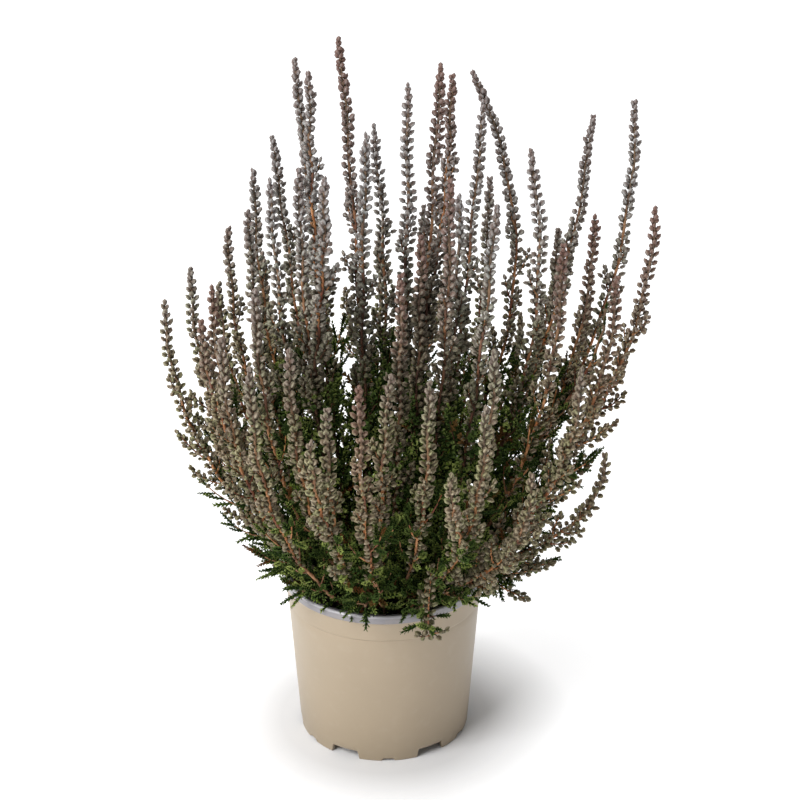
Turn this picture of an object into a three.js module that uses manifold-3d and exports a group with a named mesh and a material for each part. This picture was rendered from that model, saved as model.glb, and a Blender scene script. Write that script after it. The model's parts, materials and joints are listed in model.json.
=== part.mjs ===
// Potted heather: a bushy plant of upright budded stems in a round nursery pot.
// Millimetres, +Z up. The origin is on the pot's axis, at the level the pot stands on.
import * as THREE from 'three';
import { mergeVertices } from 'three/addons/utils/BufferGeometryUtils.js';
import Module from 'manifold-3d';

const wasm = await Module();
wasm.setup();

// Pot
const potHeight = 103.5;
const rimRadius = 60;
const lipWidth = 4.4;
const lipDepth = 5;
const lipRound = 1.4;
const collarRadius = 59.2;
const creaseHeight = 86.3;
const creaseStep = 0.5;
const creaseRadius = 57.8;
const baseRadius = 51.6;
const wallThickness = 1.2;
const plateHeight = 5.6;
const skirtThickness = 2;
const bossRadius = 9;
const bossSlope = 1;
const insideCorner = 2;
const potSegments = 32;

// Feet under the pot, with a gap between two feet and a small notch in each foot
const footCount = 6;
const footTurn = -87 * Math.PI / 180;
const gapWidth = 17.5;
const gapHeight = 5;
const notchWidth = 7;
const notchHeight = 1.4;
const footCutDepth = 8;
const drainRadius = 4;
const drainDistance = 42;
const drainSides = 10;

// Soil
const soilLevel = 92;
const soilLump = 1.1;
const broadLump = [7, 9];
const smallLump = 4.3;
const fitGap = 0.5;
const soilCorner = 2.3;
const soilSegments = 18;
const soilRings = 3;
const plantingDepth = 8;
const holeSpareDepth = 1;
const holeRadius = 2.3;

// Stems
const stemSpacing = 8.6;
const spreadRounds = 300;
const stemBundle = 0.27;
const stemBundleRadius = 40;
const stemRise = 1.5;
const lowerAcross = 0.56;
const lowerUp = 0.2;
const lowerSpread = 44;
const lowerLift = 42;
const upperAcross = 1.02;
const upperUp = 0.5;
const rootRadius = 1.6;
const leafyRadius = 1.3;
const buddedRadius = 2.4;
const tipRadius = 1.5;
const leafyFrom = 0.05;
const buddedFrom = 0.42;
const leafyStep = 13;
const buddedStep = 11.5;
const shootLength = 16;
const shootTilt = 0.75;
const shootRise = 0.3;
const footRise = 0.5;
const budReach = 5.4;
const budReachAtTip = 3.2;
const budRise = 0.7;
const tipLength = 3;

// Second spikes
const forkFrom = 0.42;
const forkLead = 0.3;
const forkAcross = 0.96;
const forkUp = 0.5;
const forkLeafyFrom = 0.04;
const forkBuddedFrom = 0.1;

// Sprays over the rim
const sprayRootSpread = 1.6;
const sprayLift = 26;
const sprayRiseAt = 0.25;
const sprayDropAt = 0.85;
const sprayLeafyFrom = 0.1;
const sprayLeafyTo = 0.96;
const sprayStep = 8;

// Room kept between the stems, and between a stem and the pot's rim
const clearShare = 1.04;
const clearGap = 0.35;
const rimClearance = 5;
const lineSamples = 30;
const fullReach = 1;
const leastReach = 0.1;
const reachStep = 0.06;
const testedShares = [1, 0.75, 0.5, 0.25];

// Each stem's tip: to the right, away from the viewer, above the floor.
// A fork is a second spike of the same stem, and sway bends the stem's upper part aside.
const stems = [
  { tip: [-122, -10, 277] },
  { tip: [-110, 15, 288] },
  { tip: [-93, -30, 293], fork: [-97, -52, 281] },
  { tip: [-84, -75, 280] },
  { tip: [-91, 50, 301] },
  { tip: [-76, 20, 321] },
  { tip: [-76, 62, 333] },
  { tip: [-61, -10, 347], sway: [4, 0] },
  { tip: [-66, 84, 347], sway: [16, -6] },
  { tip: [-49, 40, 403], fork: [-40, 12, 401], sway: [14, 0] },
  { tip: [-44, -30, 359], fork: [-30, -46, 359] },
  { tip: [-24, 24, 418], sway: [16, 0] },
  { tip: [-8, -20, 375], sway: [-8, 0] },
  { tip: [-6, 80, 355], sway: [14, 0] },
  { tip: [14, 2, 398] },
  { tip: [21, -30, 322] },
  { tip: [24, 95, 301] },
  { tip: [32, 12, 406], fork: [39, 42, 393], sway: [-10, 0] },
  { tip: [51, 60, 391], sway: [70, 0] },
  { tip: [56, 18, 385], sway: [-12, 0] },
  { tip: [42, -16, 340] },
  { tip: [36, -50, 359] },
  { tip: [60, -62, 349], sway: [-10, 0] },
  { tip: [81, 0, 362], sway: [24, 0] },
  { tip: [121, 60, 366], sway: [-12, 0] },
  { tip: [106, 90, 288] },
  { tip: [97, -40, 321] },
  { tip: [121, 28, 315], fork: [128, 12, 268] },
  { tip: [142, 42, 378], sway: [8, 0] },
  { tip: [151, 0, 329] },
  { tip: [129, -22, 296] },
  { tip: [86, 112, 225] },
  { tip: [59, -86, 278] },
  { tip: [124, -48, 200] },
  { tip: [106, -72, 262] },
  { tip: [79, -102, 214] },
  { tip: [54, -107, 255], fork: [36, -120, 223] },
  { tip: [25, -96, 264] },
  { tip: [10, -62, 311] },
  { tip: [5, -90, 265], sway: [-10, 0] },
  { tip: [-11, -117, 271] },
  { tip: [-28, -112, 256], fork: [-36, -124, 243] },
  { tip: [-48, -86, 278] },
  { tip: [-68, -97, 272] },
  { tip: [-67, -60, 302] },
  { tip: [-100, 74, 258] },
  { tip: [-76, 110, 266], fork: [-50, 122, 252] },
  { tip: [-3, 107, 279], fork: [-25, 122, 239] },
  { tip: [-38, 96, 312] },
  { tip: [14, 130, 246], fork: [40, 124, 268] },
  { tip: [64, 96, 318] },
  { tip: [124, 74, 250] },
];

// Short leafy sprays that hang over the rim: where their tips point, how far out and how high.
const sprays = [
  { turn: -152, reach: 80, height: 106 },
  { turn: -133, reach: 74, height: 102 },
  { turn: -98, reach: 73, height: 104 },
  { turn: -69, reach: 77, height: 92 },
  { turn: -30, reach: 82, height: 104 },
  { turn: 66, reach: 78, height: 98 },
];

const potMaterial = { color: 0xb3a28a, roughness: 0.42, metalness: 0 };
const soilMaterial = { color: 0x2b211a, roughness: 0.95, metalness: 0 };
const buddedStemMaterial = { color: 0x6a5f50, roughness: 0.8, metalness: 0 };
const leafySprayMaterial = { color: 0x3d5a24, roughness: 0.75, metalness: 0 };

// Solids
function toSolid(geometry) {
  const bare = geometry.index ? geometry.toNonIndexed() : geometry.clone();
  bare.deleteAttribute('normal');
  bare.deleteAttribute('uv');
  const merged = mergeVertices(bare, 1e-4);
  return new wasm.Manifold(new wasm.Mesh({
    numProp: 3,
    vertProperties: new Float32Array(merged.attributes.position.array),
    triVerts: new Uint32Array(merged.index.array),
  }));
}

function toGeometry(solid) {
  const mesh = solid.getMesh();
  const geometry = new THREE.BufferGeometry();
  geometry.setAttribute('position', new THREE.BufferAttribute(mesh.vertProperties, 3));
  geometry.setIndex(new THREE.BufferAttribute(mesh.triVerts, 1));
  geometry.computeVertexNormals();
  return geometry;
}

function namedMesh(name, geometry, material) {
  const mesh = new THREE.Mesh(geometry, new THREE.MeshStandardMaterial(material));
  mesh.name = name;
  return mesh;
}

// Pot wall
function wallRadiusAt(height) {
  if (height > creaseHeight) {
    const share = (height - creaseHeight) / (potHeight - creaseHeight);
    return THREE.MathUtils.lerp(creaseRadius + creaseStep, collarRadius, share);
  }
  return THREE.MathUtils.lerp(baseRadius, creaseRadius, height / creaseHeight);
}

function potProfile() {
  const lipFoot = potHeight - lipDepth;
  const lipInner = rimRadius - lipWidth;
  const plateTop = plateHeight + wallThickness;
  return [
    [0, 0],
    [bossRadius, 0],
    [bossRadius + bossSlope, plateHeight],
    [baseRadius - skirtThickness, plateHeight],
    [baseRadius - skirtThickness, 0],
    [baseRadius, 0],
    [creaseRadius, creaseHeight],
    [creaseRadius + creaseStep, creaseHeight + creaseStep],
    [wallRadiusAt(lipFoot), lipFoot],
    [rimRadius, lipFoot + lipRound / 2],
    [rimRadius, potHeight - lipRound],
    [rimRadius - lipRound, potHeight],
    [lipInner + lipRound, potHeight],
    [lipInner, potHeight - lipRound],
    [wallRadiusAt(lipFoot) - wallThickness, lipFoot - lipWidth / 2],
    [creaseRadius - wallThickness, creaseHeight],
    [wallRadiusAt(plateTop) - wallThickness, plateTop + insideCorner],
    [wallRadiusAt(plateTop) - wallThickness - insideCorner, plateTop],
    [0, plateTop],
  ].map(([radius, height]) => new THREE.Vector2(radius, height));
}

function footCut(width, height, angle) {
  const cut = new THREE.BoxGeometry(footCutDepth, width, height * 2);
  cut.translate(baseRadius, 0, 0);
  cut.rotateZ(angle);
  return toSolid(cut);
}

function drainCut(angle) {
  const cut = new THREE.CylinderGeometry(drainRadius, drainRadius, plateHeight * 3, drainSides);
  cut.rotateX(Math.PI / 2);
  cut.translate(drainDistance, 0, plateHeight);
  cut.rotateZ(angle);
  return toSolid(cut);
}

function makePot() {
  const shell = new THREE.LatheGeometry(potProfile(), potSegments);
  shell.rotateX(Math.PI / 2);
  let pot = toSolid(shell);
  for (let foot = 0; foot < footCount; foot += 1) {
    const footAngle = footTurn + foot * 2 * Math.PI / footCount;
    const gapAngle = footAngle + Math.PI / footCount;
    pot = pot.subtract(footCut(notchWidth, notchHeight, footAngle));
    pot = pot.subtract(footCut(gapWidth, gapHeight, gapAngle));
    pot = pot.subtract(drainCut(gapAngle));
  }
  return namedMesh('pot', toGeometry(pot), potMaterial);
}

// Soil surface
function soilTop(x, y) {
  const broad = Math.sin(x / broadLump[0] + 0.6) * Math.cos(y / broadLump[1]);
  const small = 0.5 * Math.sin((x - y) / smallLump);
  return soilLevel + soilLump * (broad + small);
}

function soilProfile() {
  const bottom = plateHeight + wallThickness + fitGap;
  const side = wallThickness + fitGap;
  const topRadius = creaseRadius - side;
  const profile = [
    [0, bottom],
    [wallRadiusAt(bottom) - side - soilCorner, bottom],
    [wallRadiusAt(bottom) - side, bottom + soilCorner],
    [topRadius, creaseHeight],
  ];
  for (let ring = soilRings; ring >= 0; ring -= 1) {
    profile.push([topRadius * ring / soilRings, soilLevel]);
  }
  return profile.map(([radius, height]) => new THREE.Vector2(radius, height));
}

function plantingHole(base) {
  const depth = plantingDepth + holeSpareDepth;
  const hole = new THREE.CylinderGeometry(holeRadius, holeRadius, 2 * depth, 3, 1, false, Math.PI / 2);
  hole.rotateX(Math.PI / 2);
  hole.translate(base.x, base.y, soilTop(base.x, base.y));
  return toSolid(hole);
}

function makeSoil(bases) {
  const body = new THREE.LatheGeometry(soilProfile(), soilSegments);
  body.rotateX(Math.PI / 2);
  const position = body.attributes.position;
  for (let index = 0; index < position.count; index += 1) {
    if (position.getZ(index) > soilLevel - 1) {
      position.setZ(index, soilTop(position.getX(index), position.getY(index)));
    }
  }
  let soil = toSolid(body);
  for (const base of bases) soil = soil.subtract(plantingHole(base));
  return namedMesh('potting_soil', toGeometry(soil), soilMaterial);
}

// Where the stems leave the soil: the tips drawn in, then spread until each has room
function spreadBases(tips) {
  const bases = tips.map((tip) => new THREE.Vector2(tip.x, tip.y).multiplyScalar(stemBundle));
  for (let round = 0; round < spreadRounds; round += 1) {
    for (let first = 0; first < bases.length; first += 1) {
      for (let second = first + 1; second < bases.length; second += 1) {
        const apart = bases[second].clone().sub(bases[first]);
        const distance = Math.max(apart.length(), 0.01);
        if (distance < stemSpacing) {
          apart.multiplyScalar((stemSpacing - distance) / distance / 2);
          bases[first].sub(apart);
          bases[second].add(apart);
        }
      }
    }
    for (const base of bases) base.clampLength(0, stemBundleRadius);
  }
  return bases;
}

function between(start, end, acrossShare, upShare) {
  return new THREE.Vector3(
    THREE.MathUtils.lerp(start.x, end.x, acrossShare),
    THREE.MathUtils.lerp(start.y, end.y, acrossShare),
    THREE.MathUtils.lerp(start.z, end.z, upShare),
  );
}

function stemPath(start, tip, sway = [0, 0]) {
  const spread = Math.hypot(tip.x - start.x, tip.y - start.y);
  const lower = between(start, tip, Math.min(lowerAcross, lowerSpread / spread), lowerUp);
  lower.z = Math.max(lower.z, start.z + Math.min(lowerLift, spread));
  const upper = between(start, tip, upperAcross, upperUp).add(new THREE.Vector3(sway[0], sway[1], 0));
  return new THREE.CubicBezierCurve3(start, lower, upper, tip);
}

function forkPath(main, tip) {
  const start = main.getPointAt(forkFrom);
  const lead = main.getTangentAt(forkFrom).multiplyScalar(start.distanceTo(tip) * forkLead);
  const upper = between(start, tip, forkAcross, forkUp);
  return new THREE.CubicBezierCurve3(start, start.clone().add(lead), upper, tip);
}

function sprayPath(start, tip) {
  const lift = new THREE.Vector3(0, 0, sprayLift);
  const rise = between(start, tip, sprayRiseAt, 0).add(lift);
  const drop = between(start, tip, sprayDropAt, 1).add(lift);
  return new THREE.CubicBezierCurve3(start, rise, drop, tip);
}

// Distance from a point to the nearest of some sampled lines
function distanceToLines(point, lines) {
  const foot = new THREE.Vector3();
  let nearest = Infinity;
  for (const segments of lines) {
    for (const segment of segments) {
      segment.closestPointToPoint(point, true, foot);
      nearest = Math.min(nearest, foot.distanceToSquared(point));
    }
  }
  return Math.sqrt(nearest);
}

function sampleLine(path) {
  const points = path.getSpacedPoints(lineSamples);
  return points.slice(1).map((point, index) => new THREE.Line3(points[index], point));
}

function clearOfPot(point) {
  const radius = Math.hypot(point.x, point.y);
  const outward = radius - (rimRadius - lipWidth / 2);
  const upward = Math.max(point.z - (potHeight - lipRound), 0);
  return Math.hypot(outward, upward) > rimClearance && (outward > 0 || point.z > soilLevel + 3 * soilLump);
}

// A stem is a three-sided tube with rings turned half a side from tier to tier.
// Each tier raises three points from its sides: side shoots low down, buds above.
function ringFrame(path, share) {
  const upward = path.getTangentAt(share);
  const across = new THREE.Vector3(1, 0, 0).addScaledVector(upward, -upward.x).normalize();
  return { centre: path.getPointAt(share), upward, across, inward: upward.clone().cross(across) };
}

function outwardFrom(frame, turn) {
  return frame.across.clone().multiplyScalar(Math.cos(turn))
    .addScaledVector(frame.inward, Math.sin(turn));
}

function tiersOf(path, leafyShare, buddedShare, shootStep) {
  const length = path.getLength();
  const leafyCount = Math.max(1, Math.round(length * (buddedShare - leafyShare) / shootStep));
  const buddedCount = Math.round(length * (1 - buddedShare) / buddedStep);
  const tiers = [];
  for (let tier = 0; tier < leafyCount; tier += 1) {
    tiers.push({ share: THREE.MathUtils.lerp(leafyShare, buddedShare, tier / leafyCount), budded: false });
  }
  for (let tier = 0; tier < buddedCount; tier += 1) {
    tiers.push({ share: THREE.MathUtils.lerp(buddedShare, 1, tier / buddedCount), budded: true });
  }
  return tiers;
}

function tubeRadiusAt(share, buddedShare) {
  if (share < buddedShare) return leafyRadius;
  return THREE.MathUtils.lerp(buddedRadius, tipRadius, (share - buddedShare) / (1 - buddedShare));
}

function raisedPoint(frame, turn, tier, step, buddedShare, isClear) {
  const outward = outwardFrom(frame, turn);
  const budShare = Math.max(0, (tier.share - buddedShare) / (1 - buddedShare));
  const across = tier.budded
    ? THREE.MathUtils.lerp(budReach, budReachAtTip, budShare)
    : leafyRadius + shootLength * Math.cos(shootTilt);
  const rise = tier.budded ? budRise * step : shootRise * step + shootLength * Math.sin(shootTilt);
  for (let reach = fullReach; reach > leastReach; reach -= reachStep) {
    const point = frame.centre.clone()
      .addScaledVector(outward, THREE.MathUtils.lerp(leafyRadius, across, reach))
      .addScaledVector(frame.upward, THREE.MathUtils.lerp(footRise * step, rise, reach));
    const tested = testedShares.map((share) => frame.centre.clone().lerp(point, share));
    if (tested.every(isClear)) return point;
  }
  return null;
}

function stemSolid(path, leafyShare, buddedShare, hasRoot, isClear, shootStep = leafyStep) {
  const tiers = tiersOf(path, leafyShare, buddedShare, shootStep);
  const points = [];
  const faces = [];
  const addRing = (frame, radius, turn) => {
    for (let side = 0; side < 3; side += 1) {
      const outward = outwardFrom(frame, turn + side * 2 * Math.PI / 3);
      points.push(frame.centre.clone().addScaledVector(outward, radius));
    }
  };
  const start = ringFrame(path, 0);
  if (hasRoot) {
    start.upward.set(0, 0, 1);
    start.across.set(1, 0, 0);
    start.inward.set(0, 1, 0);
    start.centre.z -= stemRise + plantingDepth;
    addRing(start, rootRadius, 0);
    start.centre.z += stemRise + plantingDepth;
  }
  addRing(start, hasRoot ? rootRadius : leafyRadius, 0);
  faces.push([0, 2, 1]);
  if (hasRoot) {
    for (let side = 0; side < 3; side += 1) {
      const next = (side + 1) % 3;
      faces.push([side, next, 3 + side], [next, 3 + next, 3 + side]);
    }
  }
  let ring = points.length - 3;
  let turn = 0;
  const half = Math.PI / 3;
  tiers.forEach((tier, index) => {
    const lowerFrame = index > 0 ? ringFrame(path, tiers[index - 1].share) : start;
    const upperFrame = ringFrame(path, tier.share);
    turn += half;
    const upper = points.length;
    addRing(upperFrame, tubeRadiusAt(tier.share, buddedShare), turn);
    const step = lowerFrame.centre.distanceTo(upperFrame.centre);
    for (let side = 0; side < 3; side += 1) {
      const next = (side + 1) % 3;
      const last = (side + 2) % 3;
      const triangle = [ring + side, ring + next, upper + side];
      faces.push([ring + side, upper + side, upper + last]);
      const raised = index > 0
        ? raisedPoint(lowerFrame, turn + side * 2 * half, tiers[index - 1], step, buddedShare, isClear)
        : null;
      if (raised) {
        const apex = points.push(raised) - 1;
        faces.push([triangle[0], triangle[1], apex]);
        faces.push([triangle[1], triangle[2], apex]);
        faces.push([triangle[2], triangle[0], apex]);
      } else {
        faces.push(triangle);
      }
    }
    ring = upper;
  });
  const end = ringFrame(path, 1);
  const apex = points.push(end.centre.addScaledVector(end.upward, tipLength)) - 1;
  for (let side = 0; side < 3; side += 1) faces.push([ring + side, ring + (side + 1) % 3, apex]);
  const geometry = new THREE.BufferGeometry().setFromPoints(points);
  geometry.setIndex(faces.flat());
  return toSolid(geometry);
}

// The plant
function makePlant() {
  const plants = stems.map((stem) => ({ ...stem, tip: new THREE.Vector3(...stem.tip) }));
  for (const spray of sprays) {
    const turn = THREE.MathUtils.degToRad(spray.turn);
    const tip = new THREE.Vector3(spray.reach * Math.cos(turn), spray.reach * Math.sin(turn), spray.height);
    plants.push({ tip, isSpray: true });
  }
  const bases = spreadBases(plants.map(
    (plant) => plant.tip.clone().multiplyScalar(plant.isSpray ? sprayRootSpread : 1),
  ));
  plants.forEach((plant, index) => {
    const { x, y } = bases[index];
    const start = new THREE.Vector3(x, y, soilTop(x, y) + stemRise);
    const main = plant.isSpray ? sprayPath(start, plant.tip) : stemPath(start, plant.tip, plant.sway);
    plant.paths = [main];
    if (plant.fork) plant.paths.push(forkPath(main, new THREE.Vector3(...plant.fork)));
    plant.lines = plant.paths.map(sampleLine);
  });
  const meshes = plants.map((plant, index) => {
    const others = plants.filter((other) => other !== plant).flatMap((other) => other.lines);
    const isClear = (point) => clearOfPot(point)
      && distanceToLines(point, plant.lines) * clearShare + clearGap < distanceToLines(point, others);
    const spikes = plant.paths.map((path, spike) => {
      if (plant.isSpray) return stemSolid(path, sprayLeafyFrom, sprayLeafyTo, true, isClear, sprayStep);
      return spike === 0
        ? stemSolid(path, leafyFrom, buddedFrom, true, isClear)
        : stemSolid(path, forkLeafyFrom, forkBuddedFrom, false, isClear);
    });
    const solid = spikes.length > 1 ? spikes[0].add(spikes[1]) : spikes[0];
    const number = plant.isSpray ? index - stems.length + 1 : index + 1;
    const name = `${plant.isSpray ? 'leafy_spray' : 'stem'}_${String(number).padStart(2, '0')}`;
    return namedMesh(name, toGeometry(solid), plant.isSpray ? leafySprayMaterial : buddedStemMaterial);
  });
  return { meshes, bases };
}

const plant = makePlant();
const pottedHeather = new THREE.Group();
pottedHeather.add(makePot(), makeSoil(plant.bases), ...plant.meshes);

export default pottedHeather;
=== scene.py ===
"""A potted heather, dressed over its CAD model: a nursery pot, crumbly soil, budded stems and
leafy sprays that hang over the rim."""

import itertools
import json
import math
import random

import bmesh
import bpy
import numpy as np
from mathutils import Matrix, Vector, noise

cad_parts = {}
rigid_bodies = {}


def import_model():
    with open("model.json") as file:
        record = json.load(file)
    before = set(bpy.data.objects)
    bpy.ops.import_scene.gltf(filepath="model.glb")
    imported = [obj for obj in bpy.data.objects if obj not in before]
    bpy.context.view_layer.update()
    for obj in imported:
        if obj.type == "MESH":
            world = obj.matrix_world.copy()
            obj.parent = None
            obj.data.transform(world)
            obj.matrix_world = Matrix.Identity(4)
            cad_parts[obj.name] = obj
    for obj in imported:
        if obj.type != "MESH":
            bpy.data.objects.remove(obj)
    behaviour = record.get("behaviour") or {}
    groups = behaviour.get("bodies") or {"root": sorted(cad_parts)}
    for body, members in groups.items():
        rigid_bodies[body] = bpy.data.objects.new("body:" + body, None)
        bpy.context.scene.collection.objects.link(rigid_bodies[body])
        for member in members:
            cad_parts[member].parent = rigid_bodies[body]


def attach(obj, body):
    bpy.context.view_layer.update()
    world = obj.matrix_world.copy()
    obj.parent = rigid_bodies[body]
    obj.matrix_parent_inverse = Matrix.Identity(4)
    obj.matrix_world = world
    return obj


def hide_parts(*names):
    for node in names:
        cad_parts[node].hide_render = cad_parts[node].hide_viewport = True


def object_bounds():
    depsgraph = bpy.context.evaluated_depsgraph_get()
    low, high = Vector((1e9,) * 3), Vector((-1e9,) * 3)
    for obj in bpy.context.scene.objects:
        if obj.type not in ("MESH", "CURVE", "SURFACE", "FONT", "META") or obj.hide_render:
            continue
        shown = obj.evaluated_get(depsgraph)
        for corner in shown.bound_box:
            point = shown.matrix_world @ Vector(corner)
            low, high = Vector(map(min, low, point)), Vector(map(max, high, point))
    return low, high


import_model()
cad_low, cad_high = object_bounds()
MM = 0.001

# Sizes of the pot and the soil, in millimetres
POT_HEIGHT = 103.5
RIM_RADIUS = 60
LIP_WIDTH = 4.4
LIP_DEPTH = 5
LIP_ROUND = 1.4
COLLAR_RADIUS = 59.2
CREASE_HEIGHT = 86.3
CREASE_STEP = 0.5
CREASE_RADIUS = 57.8
BASE_RADIUS = 51.6
WALL_THICKNESS = 1.2
PLATE_HEIGHT = 5.6
PLATE_TOP = PLATE_HEIGHT + WALL_THICKNESS
SKIRT_THICKNESS = 2
BOSS_RADIUS = 9
BOSS_FOOT = 0.15
FOOT_COUNT = 6
FOOT_TURN = math.radians(-87)
GAP_WIDTH = 17.5
GAP_HEIGHT = 5
NOTCH_WIDTH = 7
NOTCH_HEIGHT = 1.4
DRAIN_RADIUS = 4
DRAIN_DISTANCE = 42
DRAIN_SIDES = 24
POT_SIDES = 240
SOIL_LEVEL = 92
SOIL_LUMP = 1.1
SOIL_LUMP_WIDTHS = (7, 9, 4.3)
SOIL_GAP = 0.3
SOIL_SLACK = 0.2
SOIL_CHAMFER = 2.3
SOIL_SIDES = 96
SOIL_RINGS = 44

# How the stems leave the soil and bend outwards, in millimetres or in shares of their reach
STEM_SPACING = 8.6
STEM_BUNDLE = 0.27
STEM_BUNDLE_RADIUS = 40
SPRAY_BUNDLE = 1.6
SPREADING_ROUNDS = 300
STEM_RISE = 1.5
LOWER_ACROSS = 0.56
LOWER_UP = 0.2
LOWER_SPREAD = 44
LOWER_LIFT = 42
UPPER_ACROSS = 1.02
UPPER_UP = 0.5
FORK_FROM = 0.42
FORK_LEAD = 0.3
FORK_ACROSS = 0.96
SPRAY_LIFT = 26
SPRAY_LOWER_ACROSS = 0.25
SPRAY_UPPER_ACROSS = 0.85

# Share of a stem below its buds, for a low and for a high tip, and of a fork
BUDDED_FROM = (0.28, 0.46)
BUDDED_LOW_TIP = 240
BUDDED_HIGH_TIP = 340
FORK_BUDDED_FROM = 0.12

# Each stem's tip to the right, away from the viewer and above the floor, from stem 1 on
STEM_TIPS = [
    (-122, -10, 277), (-110, 15, 288), (-93, -30, 293), (-84, -75, 280), (-91, 50, 301),
    (-76, 20, 321), (-76, 62, 333), (-61, -10, 347), (-66, 84, 347), (-49, 40, 403),
    (-44, -30, 359), (-24, 24, 418), (-8, -20, 375), (-6, 80, 355), (14, 2, 398),
    (21, -30, 322), (24, 95, 301), (32, 12, 406), (51, 60, 391), (56, 18, 385),
    (42, -16, 340), (36, -50, 359), (60, -62, 349), (81, 0, 362), (121, 60, 366),
    (106, 90, 288), (97, -40, 321), (121, 28, 315), (142, 42, 378), (151, 0, 329),
    (129, -22, 296), (86, 112, 225), (59, -86, 278), (124, -48, 200), (106, -72, 262),
    (79, -102, 214), (54, -107, 255), (25, -96, 264), (10, -62, 311), (5, -90, 265),
    (-11, -117, 271), (-28, -112, 256), (-48, -86, 278), (-68, -97, 272), (-67, -60, 302),
    (-100, 74, 258), (-76, 110, 266), (-3, 107, 279), (-38, 96, 312), (14, 130, 246),
    (64, 96, 318), (124, 74, 250),
]

# Second tips of the forked stems, and how far to the right and away some stems sway, by stem
FORK_TIPS = {
    3: (-97, -52, 281), 10: (-40, 12, 401), 11: (-30, -46, 359), 18: (39, 42, 393), 28: (128, 12, 268),
    37: (36, -120, 223), 42: (-36, -124, 243), 47: (-50, 122, 252), 48: (-25, 122, 239),
    50: (40, 124, 268),
}
SWAYS = {
    8: (4, 0), 9: (16, -6), 10: (14, 0), 12: (16, 0), 13: (-8, 0), 14: (14, 0), 18: (-10, 0),
    19: (70, 0), 20: (-12, 0), 23: (-10, 0), 24: (24, 0), 25: (-12, 0), 29: (8, 0), 40: (-10, 0),
}

# Sprays over the rim: where the tip points in degrees, how far out and how high it is, and how far
# short of it the last leaves are
SPRAYS = [
    (-152, 80, 106, 20), (-133, 74, 102, 14), (-98, 73, 104, 12), (-69, 77, 92, 9), (-30, 82, 104, 12),
    (66, 78, 98, 12),
]

# Budded twigs that turn up from some sprays: where each leaves its spray, as a share, and how far
# to the right, away and up its tip is from there
SPRAY_TWIGS = {
    1: [(0.6, (-8, -6, 14))],
    4: [(0.86, (1, -4, 42)), (0.7, (1, -4, 22)), (0.88, (8, -3, 3)), (0.9, (-6, -3, 1))],
    5: [(0.5, (36, -12, 18)), (0.7, (26, -8, 8)), (0.35, (26, -20, 26)), (0.85, (14, -8, -4))],
}

# The spray over the front of the rim whose outer half is budded, and where its leafy twigs end
BUDDED_SPRAY = 4
BUDDED_SPRAY_FROM = 0.5
BUDDED_SPRAY_LEAFY_TO = 0.84

# Spacing of what grows on a stem, in metres
BUD_SPACING = 0.0024
SHOOT_SPACING = 0.0056
SPRAY_SHOOT_SPACING = 0.0034
LEAF_SPACING = 0.00105
INNER_LEAF_SPACING = 0.0022

# Share of the side shoots missing from stems and from twigs on the outside of the bush
STEM_SHOOT_GAPS = 0.25
TWIG_SHOOT_GAPS = 0.1

# Nothing grows where it would have less room than this
SMALLEST_ROOM = 0.15

# Nothing leafy grows so close to the rim, and it has its full size this much further off
RIM_BARE = 2.5
RIM_FADE = 3.5

# How far the dim inside of the bush reaches at some heights, from a middle a little to the right,
# and how soft its edge is
# The finishes darken this dim inside as painted shade
INSIDE_HEIGHTS = [90, 130, 200, 250, 290, 310]
INSIDE_REACHES = [38, 58, 86, 86, 38, -12]
INSIDE_MIDDLE = 8
INSIDE_EDGE = 16

# Heights between which the green side shoots give way to buds, in millimetres
LEAFY_BELOW = 208
LEAFLESS_ABOVE = 252

# Heights between which the buds turn from olive to grey, in millimetres. The grey is partly their own
# colour and partly painted backlight
LOWER_BUDS_HEIGHT = 230
UPPER_BUDS_HEIGHT = 330

# Stems whose spikes are redder than the others
RED_STEMS = (3, 12, 16, 18, 22, 27, 28, 30, 31, 39, 41)

# Full stems on the outside of the bush, with how much of the usual budless foot each keeps
FULL_STEMS = {1: 0.95, 2: 0.95, 3: 0.5, 4: 0.5, 30: 0.5, 31: 0.95, 34: 0.95, 35: 0.5, 36: 0.5}

# Side twigs of full and of ordinary stems: how much lower down they are budded, how much longer
# the budded ones are, their lift, how much longer they are outwards, and how close they stand
FULL_TWIGS = (0.12, 1.25, -0.05, 0.3, 0.5)
ORDINARY_TWIGS = (0.0, 1.0, 0.35, -0.45, 1.0)

# How far each side twig is turned round its stem from the last one
TWIG_TURN = 2.4
TWIG_TURN_SPREAD = 0.3

# The stem whose fork ends in a fresh green shoot
GREEN_TIPPED_STEM = 28

# Side shoots: name, length and bend in millimetres, and seed
OUTER_SHOOTS = [
    ("outer_bent_shoot", 10.0, 1.6, 7), ("outer_long_shoot", 11.5, 0.9, 5),
    ("outer_short_shoot", 7.5, 0.6, 3), ("outer_straight_shoot", 9.5, 0.3, 9),
]
PACKED_SHOOTS = [
    ("packed_bent_shoot", 9.0, 2.0, 11), ("packed_long_shoot", 10.0, 1.2, 13),
    ("packed_short_shoot", 7.0, 0.8, 15), ("packed_straight_shoot", 9.0, 0.4, 17),
]


def polar(radius, angle):
    return radius * math.cos(angle), radius * math.sin(angle)


# Nodes of materials and of geometry trees
def add_node(tree, kind, inputs=None, **settings):
    """A new node. An input takes a plain value or another node's output."""
    node = tree.nodes.new(kind)
    for name, value in settings.items():
        setattr(node, name, value)
    for name, value in (inputs or {}).items():
        if isinstance(value, bpy.types.NodeSocket):
            tree.links.new(value, node.inputs[name])
        else:
            node.inputs[name].default_value = value
    return node


def made(tree, kind, inputs=None, **settings):
    """The first output of a new node."""
    return add_node(tree, kind, inputs, **settings).outputs[0]


def calculate(tree, operation, first, second):
    return made(tree, "ShaderNodeMath", {0: first, 1: second}, operation=operation)


def times(tree, first, second):
    return calculate(tree, "MULTIPLY", first, second)


def height_of(tree, place):
    return add_node(tree, "ShaderNodeSeparateXYZ", {0: place}).outputs[2]


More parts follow.
